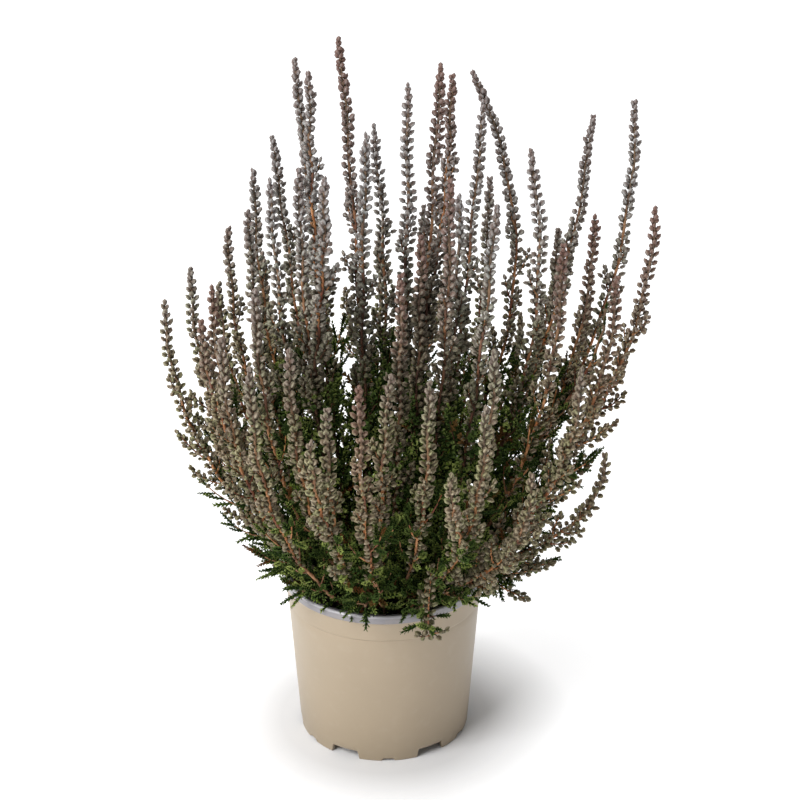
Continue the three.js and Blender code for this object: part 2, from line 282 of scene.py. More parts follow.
def length_of(tree, vector):
    return add_node(tree, "ShaderNodeVectorMath", {0: vector}, operation="LENGTH").outputs["Value"]


def stored(tree, name):
    """The value that a stem's centreline carries under this name."""
    return made(tree, "GeometryNodeInputNamedAttribute", {"Name": name}, data_type="FLOAT")


def random_number(tree, low, high, seed):
    return add_node(tree, "FunctionNodeRandomValue", {
        2: low, 3: high, "Seed": seed}, data_type="FLOAT").outputs[1]


def random_choice(tree, last, seed):
    return add_node(tree, "FunctionNodeRandomValue", {
        4: 0, 5: last, "Seed": seed}, data_type="INT").outputs[2]


def shapes_of(tree, collection):
    """The shapes of a collection, to be picked by number in the order of their names."""
    return made(tree, "GeometryNodeCollectionInfo", {
        "Collection": collection, "Separate Children": True, "Reset Children": True})


def turned(tree, rotation, axis, angle):
    """A rotation turned further about one of its own axes."""
    further = made(tree, "FunctionNodeAxisAngleToRotation", {"Axis": axis, "Angle": angle})
    return made(tree, "FunctionNodeRotateRotation", {
        "Rotation": rotation, "Rotate By": further}, rotation_space="LOCAL")


def new_tree(name, sizes):
    tree = bpy.data.node_groups.new(name, "GeometryNodeTree")
    tree.interface.new_socket("Geometry", in_out="INPUT", socket_type="NodeSocketGeometry")
    tree.interface.new_socket("Geometry", in_out="OUTPUT", socket_type="NodeSocketGeometry")
    for size, kind in sizes.items():
        tree.interface.new_socket(size, in_out="INPUT", socket_type=f"NodeSocket{kind}")
    return tree, tree.nodes.new("NodeGroupInput"), tree.nodes.new("NodeGroupOutput")


def end_tree(tree, geometry, finish, result, smooth=True):
    """Every tree ends as real faces with their shading and material."""
    real = made(tree, "GeometryNodeRealizeInstances", {"Geometry": geometry})
    shaded = made(tree, "GeometryNodeSetShadeSmooth", {"Geometry": real, "Shade Smooth": smooth})
    painted = made(tree, "GeometryNodeSetMaterial", {"Geometry": shaded, "Material": finish})
    tree.links.new(painted, result.inputs[0])


def grow(obj, tree, values):
    """Puts a tree on an object and sets the tree's named inputs."""
    modifier = obj.modifiers.new(tree.name, "NODES")
    modifier.node_group = tree
    for item in tree.interface.items_tree:
        if item.in_out == "INPUT" and item.name in values:
            modifier[item.identifier] = values[item.name]
    return obj


def make_plain(objects):
    """Turns each object's evaluated result into its own plain mesh with one finish."""
    bpy.context.view_layer.update()
    depsgraph = bpy.context.evaluated_depsgraph_get()
    meshes = [bpy.data.meshes.new_from_object(
        obj.evaluated_get(depsgraph), preserve_all_data_layers=True, depsgraph=depsgraph)
        for obj in objects]
    for obj, mesh in zip(objects, meshes):
        obj.modifiers.clear()
        obj.data = mesh
        mesh.name = obj.name
        finish = next((material for material in mesh.materials if material), None)
        mesh.materials.clear()
        if finish:
            mesh.materials.append(finish)
            mesh.polygons.foreach_set("material_index", [0] * len(mesh.polygons))


def place_in_scene(name, mesh):
    obj = bpy.data.objects.new(name, mesh)
    bpy.context.scene.collection.objects.link(obj)
    return obj


def mesh_object(name, vertices, faces, edges=()):
    mesh = bpy.data.meshes.new(name)
    mesh.from_pydata([tuple(v) for v in vertices], list(edges), list(faces))
    return place_in_scene(name, mesh)


def store_values(obj, name, values):
    attribute = obj.data.attributes.new(name, "FLOAT", "POINT")
    attribute.data.foreach_set("value", np.asarray(values, np.float32))


# Materials
def new_finish(name, roughness, specular=0.5):
    material = bpy.data.materials.new(name)
    material.use_nodes = True
    tree = material.node_tree
    shader = tree.nodes["Principled BSDF"]
    shader.inputs["Roughness"].default_value = roughness
    shader.inputs["Specular IOR Level"].default_value = specular
    place = add_node(tree, "ShaderNodeTexCoord").outputs["Object"]
    return material, tree, shader, place


def end_finish(tree, shader, colour, relief, strength, depth, roughness=None):
    """Joins colour, relief and a roughness that varies to the shader."""
    bump = made(tree, "ShaderNodeBump", {"Height": relief, "Strength": strength, "Distance": depth})
    tree.links.new(bump, shader.inputs["Normal"])
    tree.links.new(colour, shader.inputs["Base Color"])
    if roughness:
        tree.links.new(roughness, shader.inputs["Roughness"])


def speckle(tree, place, scale, detail=3.0, stretch=None):
    """Soft noise at a number of cells per metre."""
    if stretch:
        place = made(tree, "ShaderNodeMapping", {"Vector": place, "Scale": stretch})
    return add_node(tree, "ShaderNodeTexNoise", {
        "Vector": place, "Scale": scale, "Detail": detail}).outputs["Fac"]


def blend(tree, share, first, second):
    """Mixes two colours by a share from 0 to 1."""
    node = add_node(tree, "ShaderNodeMix", {0: share}, data_type="RGBA")
    for socket, colour in ((node.inputs[6], first), (node.inputs[7], second)):
        if isinstance(colour, bpy.types.NodeSocket):
            tree.links.new(colour, socket)
        else:
            socket.default_value = (*colour, 1.0)
    return node.outputs[2]


def remap(tree, value, low, high, to_low=0.0, to_high=1.0):
    return made(tree, "ShaderNodeMapRange", {
        0: value, 1: low, 2: high, 3: to_low, 4: to_high})


def carried(tree, name):
    """A value that the mesh carries, read in its material."""
    return add_node(tree, "ShaderNodeAttribute", attribute_name=name).outputs["Fac"]


def layered(tree, colour, layers):
    """Lays more colours over a first one. Each one's share goes from 0 to its top while a value, or
    what the mesh carries under that name, goes from one number to another."""
    for value, start, end, top, tone in layers:
        if isinstance(value, str):
            value = carried(tree, value)
        colour = blend(tree, remap(tree, value, start, end, 0.0, top), colour, tone)
    return colour


def pot_finish():
    """Taupe plastic, a greyer lip, a painted highlight along its top and painted shade inside the lip."""
    material, tree, shader, place = new_finish("satin taupe plastic", 0.4)
    cloud = speckle(tree, place, 22, 4.0)
    grain = speckle(tree, place, 900, 2.0)
    height = height_of(tree, place)
    radius = length_of(tree, made(
        tree, "ShaderNodeVectorMath", {0: place, 1: (1, 1, 0)}, operation="MULTIPLY"))
    lip_foot = POT_HEIGHT - LIP_DEPTH
    lip = remap(tree, height, (lip_foot - 0.6) * MM, (lip_foot + 0.6) * MM)
    # Painted shade: a mask for the inner part of the lip's top
    inside = times(tree, lip, remap(tree, radius, (RIM_RADIUS - 0.9) * MM, (RIM_RADIUS - 1.8) * MM))
    colour = layered(tree, (0.345, 0.275, 0.188), [
        (cloud, 0.3, 0.7, 1.0, (0.372, 0.296, 0.205)),
        # The lip's lavender grey: partly the plastic's own colour, partly a painted reflection
        (lip, 0, 1, 1.0, (0.25, 0.238, 0.248)),
        # Painted highlight: a paler band round the rounded top edge of the lip
        (height, (POT_HEIGHT - LIP_ROUND) * MM, (POT_HEIGHT - LIP_ROUND / 2) * MM, 0.7, (0.62, 0.61, 0.65)),
        # Painted shade: the inner part of the lip's top darkened
        (inside, 0, 1, 0.85, (0.06, 0.056, 0.062)),
        (speckle(tree, place, 140, 5.0), 0.55, 0.8, 0.25, (0.42, 0.35, 0.26)),
    ])
    roughness = calculate(
        tree, "SUBTRACT", remap(tree, cloud, 0.3, 0.7, 0.34, 0.46), times(tree, lip, 0.2))
    end_finish(tree, shader, colour, grain, 0.12, 0.0002, roughness)
    return material


def soil_finish():
    material, tree, shader, place = new_finish("dark peat", 0.95)
    crumb = speckle(tree, place, 420, 6.0)
    colour = layered(tree, (0.008, 0.006, 0.004), [
        (crumb, 0.35, 0.7, 1.0, (0.05, 0.033, 0.022)),
        (speckle(tree, place, 60), 0.6, 0.75, 0.5, (0.09, 0.055, 0.03)),
    ])
    end_finish(tree, shader, colour, crumb, 0.8, 0.001)
    return material


def bark_finish():
    """Pale old wood low down, copper and brown above it, dull at the top, painted shade deep inside."""
    material, tree, shader, place = new_finish("heather bark", 0.5, 0.25)
    fibre = speckle(tree, place, 500, 4.0, (1.0, 1.0, 0.15))
    patch = speckle(tree, place, 45, 2.0)
    streak = remap(tree, fibre, 0.35, 0.7)
    young = blend(tree, streak, (0.42, 0.15, 0.05), (0.72, 0.36, 0.16))
    brown = blend(tree, streak, (0.18, 0.055, 0.03), (0.34, 0.13, 0.07))
    old = blend(tree, streak, (0.20, 0.09, 0.045), (0.52, 0.29, 0.16))
    colour = layered(tree, old, [
        ("share", 0.2, 0.5, 1.0, blend(tree, remap(tree, patch, 0.42, 0.52), brown, young)),
        ("share", 0.55, 0.85, 0.85, (0.13, 0.105, 0.075)),
        # Painted shade: darker where the stem lies deep inside the bush
        ("inner", 0, 1, 0.85, (0.03, 0.014, 0.008)),
    ])
    end_finish(tree, shader, colour, fibre, 0.5, 0.0003, remap(tree, fibre, 0.3, 0.7, 0.4, 0.7))
    return material


def bud_finish():
    """Olive and tan sepals with pale middles and dark seams, grey high up partly as painted backlight,
    and painted shade low down, at their feet and deep in the bush.
    """
    material, tree, shader, place = new_finish("heather buds", 0.4, 0.25)
    mottle = speckle(tree, place, 700)
    height = height_of(tree, place)
    high = remap(tree, height, LOWER_BUDS_HEIGHT * MM, UPPER_BUDS_HEIGHT * MM)
    olive = remap(tree, carried(tree, "tint"), 0.25, 0.75)
    pale = blend(tree, olive, (0.56, 0.48, 0.34), (0.48, 0.47, 0.26))
    red_tip = times(tree, carried(tree, "redness"), remap(tree, carried(tree, "share"), 0.6, 0.95))
    colour = layered(tree, blend(tree, olive, (0.215, 0.172, 0.104), (0.176, 0.174, 0.078)), [
        # Grey high up: partly the buds' own colour, partly painted backlight
        (high, 0, 1, 0.85, (0.276, 0.266, 0.264)),
        ("redness", 0, 1, 0.45, (0.21, 0.12, 0.075)),
        # Pale middles: their own colour, cooler and lighter high up as painted backlight
        ("sepal_seam", 0.5, 0.1, 0.7, layered(tree, pale, [(high, 0, 1, 0.85, (0.54, 0.58, 0.61))])),
        # Dark seams: their own colour, lighter high up as painted backlight
        ("sepal_seam", 0.55, 0.9, 0.9, blend(tree, high, (0.034, 0.024, 0.012), (0.15, 0.116, 0.108))),
        # Painted shade: buds darker low down in the bush
        (height, 0.21, 0.13, 0.4, (0.085, 0.075, 0.038)),
        (mottle, 0.5, 0.75, 0.4, (0.06, 0.054, 0.042)),
        (speckle(tree, place, 90, 2.0), 0.52, 0.66, 0.4, (0.14, 0.085, 0.062)),
        ("share", 0.87, 1.0, 0.4, (0.14, 0.092, 0.086)),
        (red_tip, 0, 1, 0.6, (0.15, 0.065, 0.045)),
        # Dark foot of each bud: partly its green bracts, partly painted shade against the stem
        ("bud_along", 0.5, 0.28, 0.9, (0.035, 0.038, 0.012)),
        # Painted shade: buds darker deep inside the bush
        ("inner", 0, 1, 0.6, (0.03, 0.028, 0.014)),
    ])
    end_finish(tree, shader, colour, mottle, 0.3, 0.0002, remap(tree, mottle, 0.3, 0.7, 0.35, 0.5))
    return material


def leaf_finish():
    """Dark and bright green leaves with pale edges, a few of them dead and brown, with painted shade
    at their feet, low on the stems and deep inside the bush.
    """
    material, tree, shader, place = new_finish("heather leaves", 0.6, 0.05)
    mottle = speckle(tree, place, 500)
    mottled = remap(tree, mottle, 0.3, 0.7)
    dark = blend(tree, mottled, (0.012, 0.038, 0.005), (0.034, 0.085, 0.010))
    light = blend(tree, mottled, (0.19, 0.35, 0.025), (0.35, 0.49, 0.05))
    patch = remap(tree, speckle(tree, place, 28, 2.0), 0.42, 0.54, 0.3, 1.0)
    lit = times(tree, remap(tree, carried(tree, "tint"), 0.42, 0.66), patch)
    colour = layered(tree, blend(tree, lit, dark, light), [
        ("leaf_edge", 0.55, 0.95, 0.75, blend(tree, lit, (0.17, 0.26, 0.06), (0.74, 0.81, 0.26))),
        # Painted shade: each leaf darker at its foot, where the next ones overlap it
        ("leaf_along", 0.5, 0.15, 0.92, (0.006, 0.018, 0.002)),
        ("scale_tint", 0.6, 0.0, 0.65, (0.012, 0.035, 0.005)),
        ("tint", 0.055, 0.035, 0.9, (0.28, 0.09, 0.03)),
        (height_of(tree, place), 0.17, 0.24, 0.6, (0.018, 0.030, 0.006)),
        # Painted shade: leaves darker deep inside the bush
        ("inner", 0, 1, 0.92, (0.006, 0.013, 0.002)),
        # Painted shade: leaves darker near the foot of each stem
        ("share", 0.2, 0.0, 0.5, (0.02, 0.03, 0.01)),
        ("fresh", 0, 1, 0.8, (0.17, 0.33, 0.03)),
    ])
    end_finish(tree, shader, colour, mottle, 0.25, 0.0002, remap(tree, mottle, 0.3, 0.7, 0.5, 0.7))
    return material


def floor_finish():
    """A pale floor that glows a little as painted light, except near the pot, where the missing
    glow leaves a painted shadow.
    """
    material, tree, shader, place = new_finish("pale studio floor", 0.9, 0.0)
    colour = blend(tree, speckle(tree, place, 3.0, 2.0), (0.80, 0.80, 0.81), (0.84, 0.84, 0.85))
    tree.links.new(colour, shader.inputs["Base Color"])
    shader.inputs["Emission Color"].default_value = (1, 1, 1, 1)
    # Painted light: the floor glows more away from the pot, leaving a painted shadow round it
    glow = remap(tree, length_of(tree, place), 0.064, 0.12, 0.0, 0.5)
    tree.links.new(glow, shader.inputs["Emission Strength"])
    return material


POT_FINISH = pot_finish()
SOIL_FINISH = soil_finish()
BARK_FINISH = bark_finish()
BUD_FINISH = bud_finish()
LEAF_FINISH = leaf_finish()


def tube_along(tree, curve, sides):
    """A tube on a centreline, as thick as the centreline says."""
    ring = made(tree, "GeometryNodeCurvePrimitiveCircle", {"Resolution": sides, "Radius": 1.0})
    return made(tree, "GeometryNodeCurveToMesh", {
        "Curve": curve, "Profile Curve": ring, "Scale": stored(tree, "bark_radius"), "Fill Caps": True})


def bark_tree():
    tree, source, result = new_tree("bark on stems", {"Sides": "Int", "Finish": "Material"})
    curve = made(tree, "GeometryNodeMeshToCurve", {"Mesh": source.outputs["Geometry"]})
    bark = tube_along(tree, curve, source.outputs["Sides"])
    end_tree(tree, bark, source.outputs["Finish"], result)
    return tree


def pairs_tree(kind):
    """Opposite pairs along a centreline, each pair a quarter turn from the last. The centreline
    carries their size, how far they lean out and how far they stand off."""
    tree, source, result = new_tree(f"{kind} pairs along stems", {
        "Pair Spacing": "Float", "Patterns": "Collection", "Pattern Count": "Int", "Turn Spread": "Float",
        "Lean Spread": "Float", "Size Spread": "Float", "Seed": "Int", "Finish": "Material"})
    value = source.outputs
    count = value["Pattern Count"]
    room = stored(tree, f"{kind}_room")
    curve = made(tree, "GeometryNodeMeshToCurve", {"Mesh": value["Geometry"]})
    points = add_node(tree, "GeometryNodeCurveToPoints", {
        "Curve": curve, "Length": value["Pair Spacing"]}, mode="LENGTH")
    kept = made(tree, "GeometryNodeDeleteGeometry", {
        "Geometry": points.outputs["Points"],
        "Selection": calculate(tree, "LESS_THAN", room, SMALLEST_ROOM)}, domain="POINT")
    patterns = shapes_of(tree, value["Patterns"])
    quarter = times(tree, made(tree, "GeometryNodeInputIndex"), math.pi / 2)
    grown = add_node(tree, "GeometryNodeJoinGeometry")
    for side in range(2):
        def seed(number):
            return calculate(tree, "ADD", value["Seed"], 10.0 * side + number)

        def spread(name, number):
            amount = value[name]
            return random_number(tree, times(tree, amount, -1.0), amount, seed(number))

        turn = calculate(
            tree, "ADD", calculate(tree, "ADD", quarter, math.pi * side), spread("Turn Spread", 1))
        lean = calculate(tree, "ADD", stored(tree, f"{kind}_lean"), spread("Lean Spread", 2))
        leaning = turned(tree, turned(tree, points.outputs["Rotation"], (0, 0, 1), turn), (0, 1, 0), lean)
        off = made(tree, "ShaderNodeCombineXYZ", {"Z": stored(tree, f"{kind}_stand")})
        stand = made(tree, "FunctionNodeRotateVector", {"Vector": off, "Rotation": leaning})
        moved = made(tree, "GeometryNodeSetPosition", {"Geometry": kept, "Offset": stand})
        size = times(tree, room, calculate(tree, "ADD", spread("Size Spread", 3), 1.0))
        pick = random_choice(tree, calculate(tree, "SUBTRACT", count, 1.0), seed(4))
        if kind == "shoot":
            # The shapes for the inside of the bush come after as many for its outside
            inner = calculate(tree, "GREATER_THAN", stored(tree, "inner"), 0.5)
            pick = calculate(tree, "ADD", pick, times(tree, inner, count))
        chance = random_number(tree, 0.0, 1.0, seed(6))
        present = calculate(tree, "GREATER_THAN", chance, stored(tree, f"{kind}_gaps"))
        placed = made(tree, "GeometryNodeInstanceOnPoints", {
            "Points": moved, "Selection": present, "Instance": patterns, "Pick Instance": True,
            "Instance Index": pick, "Rotation": leaning, "Scale": size})
        tinted = made(tree, "GeometryNodeStoreNamedAttribute", {
            "Geometry": placed, "Name": "scale_tint" if kind == "scale" else "tint",
            "Value": random_number(tree, 0.0, 1.0, seed(5))}, data_type="FLOAT", domain="INSTANCE")
        tree.links.new(tinted, grown.inputs[0])
    if kind == "scale":
        tree.links.new(tube_along(tree, curve, 3), grown.inputs[0])
    end_tree(tree, grown.outputs[0], value["Finish"], result, smooth=kind == "bud")
    return tree


BARK_TREE = bark_tree()
BUD_TREE = pairs_tree("bud")
SHOOT_TREE = pairs_tree("shoot")
SCALE_TREE = pairs_tree("scale")

PATTERN_SETS = []


def pattern_set(name, objects):
    """A collection of shapes that a tree repeats. It is taken out again at the end."""
    patterns = bpy.data.collections.new(name)
    PATTERN_SETS.append(patterns)
    bpy.context.scene.collection.children.link(patterns)
    for obj in objects:
        bpy.context.scene.collection.objects.unlink(obj)
        patterns.objects.link(obj)
    return patterns


def bud_shape(name, length, width, blunt):
    """An egg of three broad sepals with seams between them, on a thin stalk."""
    stalk, stalk_radius, segments = 1.5, 0.5, 6
    seam_pinch = 0.88
    rings = [(0.2, 0.88), (0.66, 0.86 + blunt)]
    vertices, faces, along, seam = [], [], [], []

    def add_vertex(x, y, z, on_seam):
        vertices.append((x * MM, y * MM, z * MM))
        along.append(z / (stalk + length))
        seam.append(on_seam)

    add_vertex(0, 0, stalk, 0.5)
    for share, wide in rings:
        for step in range(segments):
            angle = 2 * math.pi * step / segments
            radius = width / 2 * wide * (1.0 if step % 2 else seam_pinch)
            add_vertex(*polar(radius, angle), stalk + length * share, 0.0 if step % 2 else 1.0)
    add_vertex(0, 0, stalk + length, 0.4)
    top = 1 + (len(rings) - 1) * segments
    for step in range(segments):
        after = (step + 1) % segments
        faces.append((0, 1 + after, 1 + step))
        for low in range(1, top, segments):
            faces.append((low + step, low + after, low + segments + after, low + segments + step))
        faces.append((top + step, top + after, top + segments))
    first = len(vertices)
    for step in range(3):
        add_vertex(*polar(stalk_radius, 2 * math.pi * step / 3), 0, 0.5)
    add_vertex(0, 0, stalk + length / 2, 0.5)
    faces += [(first, first + 1, first + 3), (first + 1, first + 2, first + 3),
              (first + 2, first, first + 3), (first + 2, first + 1, first)]
    obj = mesh_object(name, vertices, faces)
    store_values(obj, "bud_along", along)
    store_values(obj, "sepal_seam", seam)
    return obj


def leaf_shape(name, length, width):
    """A short scale, widest past its middle, with a keel on its outer side."""
    widest = 0.62
    back = -0.3 * width
    vertices = [(0, 0, 0), (back, width / 2, length * widest), (back, -width / 2, length * widest),
                (0, 0, length)]
    faces = [(0, 1, 3), (0, 3, 2), (0, 2, 1), (3, 1, 2)]
    obj = mesh_object(name, [Vector(v) * MM for v in vertices], faces)
    store_values(obj, "leaf_along", [0, widest, widest, 1])
    store_values(obj, "leaf_edge", [0, 1, 1, 0.7])
    return obj


# Centrelines carry these values from point to point
LINE_VALUES = ["bark_radius", "share", "redness", "fresh", "inner"]
LINE_VALUES += [f"{kind}_{value}" for kind in ("bud", "shoot", "scale")
                for value in ("room", "lean", "stand", "gaps")]


def line_object(name, lines):
    """One mesh of centrelines, in metres, with what their points carry: a value for each or for all."""
    vertices, edges = [], []
    for points, _ in lines:
        first = len(vertices)
        vertices += [Vector(point) * MM for point in points]
        edges += [(number, number + 1) for number in range(first, len(vertices) - 1)]
    obj = mesh_object(name, vertices, [], edges)
    for value in LINE_VALUES:
        joined = [np.broadcast_to(values.get(value, 0.0), len(points)) for points, values in lines]
        store_values(obj, value, np.concatenate(joined))
    return obj


def grow_pairs(obj, tree, spacing, patterns, count, spreads, seed, finish):
    """Grows pairs along centrelines. The spreads are in turn, lean and size."""
    turn, lean, size = spreads
    return grow(obj, tree, {
        "Pair Spacing": spacing, "Patterns": patterns, "Pattern Count": count, "Turn Spread": turn,
        "Lean Spread": lean, "Size Spread": size, "Seed": seed, "Finish": finish})


def shoot_shape(name, length, bend, seed, leaves, spacing, joints):
    """A green side shoot: a thin twig with four rows of scale leaves."""
    shares = np.linspace(0, 1, joints)
    points = np.stack([-bend * shares ** 2, 0 * shares, length * shares], axis=1)
    values = {
        "bark_radius": np.interp(shares, [0, 0.2, 0.8, 1], [0.4, 0.75, 0.75, 0.4]) * MM,
        "scale_room": np.interp(shares, [0, 0.2, 0.8, 1], [0.8, 1.05, 1.05, 0.85]),
        "scale_lean": np.interp(shares, [0, 0.75, 1], [0.85, 0.75, 0.5]),
        "scale_stand": 0.1 * MM,
    }
    twig = line_object(name, [(points, values)])
    return grow_pairs(twig, SCALE_TREE, spacing, leaves, 2, (0.08, 0.08, 0.12), seed, LEAF_FINISH)


BUDS = pattern_set("bud shapes", [
    bud_shape("plump_bud", 3.5, 2.75, 0.12),
    bud_shape("slender_bud", 3.8, 2.5, 0.0),
    bud_shape("blunt_bud", 3.2, 2.75, 0.2),
])
LEAVES = pattern_set("leaf shapes", [
    leaf_shape("broad_leaf", 2.5, 1.6),
    leaf_shape("narrow_leaf", 2.7, 1.4),
])
INNER_LEAVES = pattern_set("inner leaf shapes", [
    leaf_shape("inner_broad_leaf", 3.6, 2.8),
    leaf_shape("inner_narrow_leaf", 4.0, 2.4),
])
shoots = [shoot_shape(*sizes, LEAVES, LEAF_SPACING, 4) for sizes in OUTER_SHOOTS]
shoots += [shoot_shape(*sizes, INNER_LEAVES, INNER_LEAF_SPACING, 3) for sizes in PACKED_SHOOTS]
make_plain(shoots)
SHOOTS = pattern_set("shoot shapes", shoots)


class Path:
    """The centreline of a stem, read by its share of the whole length."""

    def __init__(self, start, lower, upper, end):
        shares = np.linspace(0, 1, 161)[:, None]
        back = 1 - shares
        self.points = start * back ** 3 + 3 * lower * back ** 2 * shares + 3 * upper * back * shares ** 2
        self.points = self.points + end * shares ** 3
        steps = np.linalg.norm(np.diff(self.points, axis=0), axis=1)
        self.length = steps.sum()
        self.shares = np.concatenate([[0], np.cumsum(steps)]) / self.length

    def at(self, share):
        return np.stack([np.interp(share, self.shares, self.points[:, axis]) for axis in range(3)], axis=-1)

    def heading(self, share):
        ahead = self.at(min(share + 0.01, 1.0)) - self.at(max(share - 0.01, 0.0))
        return ahead / np.linalg.norm(ahead)


def soil_top(x, y):
    """The soil's height with its broad lumps, as in the CAD model."""
    wide, deep, small = SOIL_LUMP_WIDTHS
    lumps = math.sin(x / wide + 0.6) * math.cos(y / deep) + 0.5 * math.sin((x - y) / small)
    return SOIL_LEVEL + SOIL_LUMP * lumps


def spread_bases(tips):
    """Where the stems leave the soil: their tips drawn in, then spread until each has room."""
    bases = [[x * STEM_BUNDLE, y * STEM_BUNDLE] for x, y in tips]
    for _ in range(SPREADING_ROUNDS):
        for first, second in itertools.combinations(bases, 2):
            across, away = second[0] - first[0], second[1] - first[1]
            distance = max(math.hypot(across, away), 0.01)
            if distance < STEM_SPACING:
                push = (STEM_SPACING - distance) / distance / 2
                first[0] -= across * push
                first[1] -= away * push
                second[0] += across * push
                second[1] += away * push
        for base in bases:
            reach = math.hypot(*base)
            if reach > STEM_BUNDLE_RADIUS:
                base[0] *= STEM_BUNDLE_RADIUS / reach
                base[1] *= STEM_BUNDLE_RADIUS / reach
    return bases


def between(start, end, across_share, up_share):
    return start + (end - start) * np.array([across_share, across_share, up_share])


def stem_path(start, tip, sway):
    spread = math.hypot(*(tip - start)[:2])
    lower = between(start, tip, min(LOWER_ACROSS, LOWER_SPREAD / spread), LOWER_UP)
    lower[2] = max(lower[2], start[2] + min(LOWER_LIFT, spread))
    upper = between(start, tip, UPPER_ACROSS, UPPER_UP) + np.array([*sway, 0])
    return Path(start, lower, upper, tip)


def fork_path(main, tip):
    start = main.at(FORK_FROM)
    lead = main.heading(FORK_FROM) * np.linalg.norm(tip - start) * FORK_LEAD
    return Path(start, start + lead, between(start, tip, FORK_ACROSS, UPPER_UP), tip)


def spray_path(start, tip):
    lift = np.array([0, 0, SPRAY_LIFT])
    return Path(start, between(start, tip, SPRAY_LOWER_ACROSS, 0) + lift,
                between(start, tip, SPRAY_UPPER_ACROSS, 1) + lift, tip)


def rim_room(points):
    """How free each point is of the pot's rim: 0 beside it and 1 well clear."""
    outward = np.hypot(points[:, 0], points[:, 1]) - (RIM_RADIUS - LIP_WIDTH / 2)
    upward = np.maximum(points[:, 2] - POT_HEIGHT, 0)
    return np.clip((np.hypot(outward, upward) - RIM_BARE) / RIM_FADE, 0, 1)


def deep_inside(points):
    """How deep each point lies in the bush: 0 near its outside and 1 where it is dim."""
    # The finishes darken by this depth as painted shade
    reach = np.interp(points[:, 2], INSIDE_HEIGHTS, INSIDE_REACHES)
    return np.clip((reach - np.hypot(points[:, 0] - INSIDE_MIDDLE, points[:, 1])) / INSIDE_EDGE, 0, 1)


# What the centrelines carry
def main_line(path, redness, budded_from, green_tip=False, end_gap=3):
    """A stem, a fork or a spray: leafy at its foot, and budded from a share of its length."""
    shares = np.linspace(0, 1 - end_gap / path.length, max(12, int(path.length / 6)))
    points = path.at(shares)
    curve = np.interp
    spike = np.clip((shares - budded_from) / max(1 - budded_from, 0.01), 0, 1)
    wobble = 0.7 * np.stack(
        [np.sin(shares * 31 + path.length), np.cos(shares * 27 + path.length), 0 * shares], 1)
    points = points + wobble * curve(shares, [0, 0.15, 0.9, 1], [0, 1, 1, 0])[:, None]
    leafy_to = [0, 0.04, budded_from, budded_from + 0.16, budded_from + 0.24]
    leafy = curve(shares, leafy_to, [0.6, 1, 1, 0.7, 0])
    leafy = leafy * curve(points[:, 2], [LEAFY_BELOW, LEAFLESS_ABOVE], [1, 0])
    budded = curve(spike, [0, 0.1, 0.6, 0.9, 1], [0.9, 1.15, 1.2, 1.15, 0.95])
    if green_tip:
        leafy = curve(shares, [0, 0.55, 0.65, 1], [0, 0, 0.55, 0.45])
        budded = np.where(shares > 0.6, 0, budded)
    values = {
        "bark_radius": curve(shares, [0, 0.1, 0.4, 0.85, 1], [1.3, 1.05, 0.95, 0.9, 0.6]) * MM,
        "share": shares,
        "redness": redness,
        "fresh": float(green_tip),
        "inner": deep_inside(points),
        "bud_room": np.where((shares > budded_from - 0.05) & (budded_from < 1), budded, 0),
        "bud_lean": curve(spike, [0, 0.5, 0.9, 1], [1.0, 0.85, 0.65, 0.15]),
        "bud_stand": curve(spike, [0, 0.35, 0.8, 1], [1.0, 0.5, 0.0, -0.7]) * MM,
        "bud_gaps": curve(spike, [0, 0.2, 0.55, 0.8], [0.12, 0.12, 0.05, 0.0]),
        "shoot_room": leafy * rim_room(points) * 1.15,
        "shoot_gaps": STEM_SHOOT_GAPS * (1 - deep_inside(points)),
        "shoot_lean": curve(shares, [0, 0.5, 1], [0.95, 0.8, 0.5]),
        "shoot_stand": 0.3 * MM,
    }
    return points, values


def side_line(points, shares, share, redness, budded):
    """A side twig, with buds along its outer part or with leafy shoots."""
    curve = np.interp
    values = {
        "bark_radius": curve(shares, [0, 1], [0.55, 0.35]) * MM,
        "share": share,
        "redness": redness,
        "inner": deep_inside(points),
    }
    if budded:
        values["bud_room"] = np.where(shares > 0.15, curve(shares, [0.15, 0.6, 1], [1.05, 1.15, 0.9]), 0)
        values["bud_lean"] = curve(shares, [0.15, 0.8, 1], [0.95, 0.7, 0.25])
        values["bud_stand"] = curve(shares, [0.15, 1], [0.7, -0.5]) * MM
    else:
        values["shoot_room"] = curve(shares, [0, 0.1, 0.15, 1], [0, 0, 1.1, 0.9]) * rim_room(points)
        values["shoot_gaps"] = TWIG_SHOOT_GAPS * (1 - deep_inside(points))
        values["shoot_lean"] = curve(shares, [0, 0.7, 1], [0.8, 0.65, 0.15])
    return points, values


# Side twigs end this far inside the CAD model's box, in millimetres
TWIG_LOW = np.array(cad_low) / MM + 5
TWIG_HIGH = np.array(cad_high) / MM - 5


